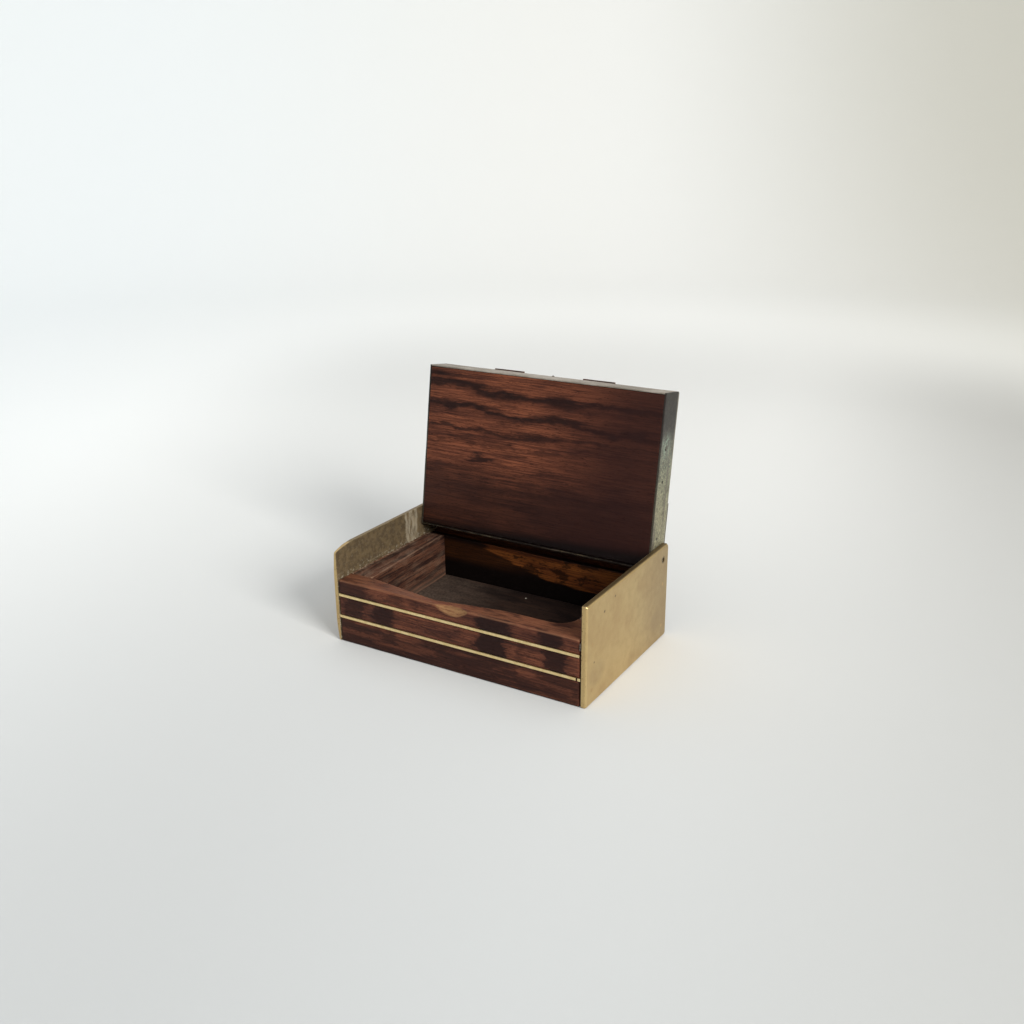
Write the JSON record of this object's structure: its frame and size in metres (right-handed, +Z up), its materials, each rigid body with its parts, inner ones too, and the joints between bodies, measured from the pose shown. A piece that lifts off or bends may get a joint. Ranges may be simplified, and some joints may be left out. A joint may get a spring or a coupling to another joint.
{
  "type": "hinged box",
  "caption": "Small wooden box with brass side plates, brass lines inlaid in its front, an open tray and a thick metal-clad lid that swings on pins between the plates.",
  "frame": {"origin": "centre of the base between the side plates, halfway from the front face to the back face, on the surface the box stands on", "axes": "+X to the right seen from the front and along the hinge axis, +Y from the front face to the back, +Z up; the lid is open at rest"},
  "size_m": [0.125, 0.0908, 0.111],
  "materials": {
    "brass_plate": "satin, lightly brushed, mottled grey-brown tarnish towards the rear edge",
    "brass_inlay": "polished, pale, worn bright by handling",
    "brass_pin": "flush and polished with the plate",
    "steel_pin": "dull, spotted",
    "dark_nail": "corroded, nearly black",
    "rosewood_front": "oiled, blotchy dark figure, worn lighter along the top edge",
    "rosewood_back": "oiled inside, a band of orange-brown sapwood figure",
    "rosewood_ends": "dry and dusty, stripes running front to back",
    "rosewood_floor": "dry, grey-brown, dusty",
    "rosewood_lid": "oiled, wide dark bands along the width, fine open pores",
    "tarnished_sheet": "thin, grey and dull, worn brighter along the folds",
    "verdigris_sheet": "grey-green verdigris with dark specks",
    "tarnished_strap": "dark grey-green tarnish",
    "dark_bar_wood": "nearly black, satin"
  },
  "bodies": {
    "box": {"side_plate_left": "brass_plate", "side_plate_right": "brass_plate", "tray_front": "rosewood_front", "tray_back": "rosewood_back", "tray_end_left": "rosewood_ends", "tray_end_right": "rosewood_ends", "tray_floor": "rosewood_floor", "inlay_upper": "brass_inlay", "inlay_lower": "brass_inlay", "inlay_lower_stub": "brass_inlay", "hinge_pin_left": "steel_pin", "hinge_pin_right": "steel_pin", "plate_pins_left": "brass_pin", "plate_pins_right": "brass_pin", "joint_wedge": "steel_pin"},
    "lid": {"lid_panel": "rosewood_lid", "lid_cover": "tarnished_sheet", "lid_end_left": "verdigris_sheet", "lid_end_right": "verdigris_sheet", "lid_end_pins_left": "dark_nail", "lid_end_pins_right": "dark_nail", "lid_strap_left": "tarnished_strap", "lid_strap_right": "tarnished_strap", "lid_bar_left": "dark_bar_wood", "lid_bar_right": "dark_bar_wood", "lid_stud": "dark_nail"}
  },
  "joints": [
    {"name": "lid_hinge", "type": "hinge", "parent": "box", "child": "lid", "pos_m": [0, 0.0333, 0.0379], "axis": [1, 0, 0], "range_deg": [0, 99]}
  ]
}
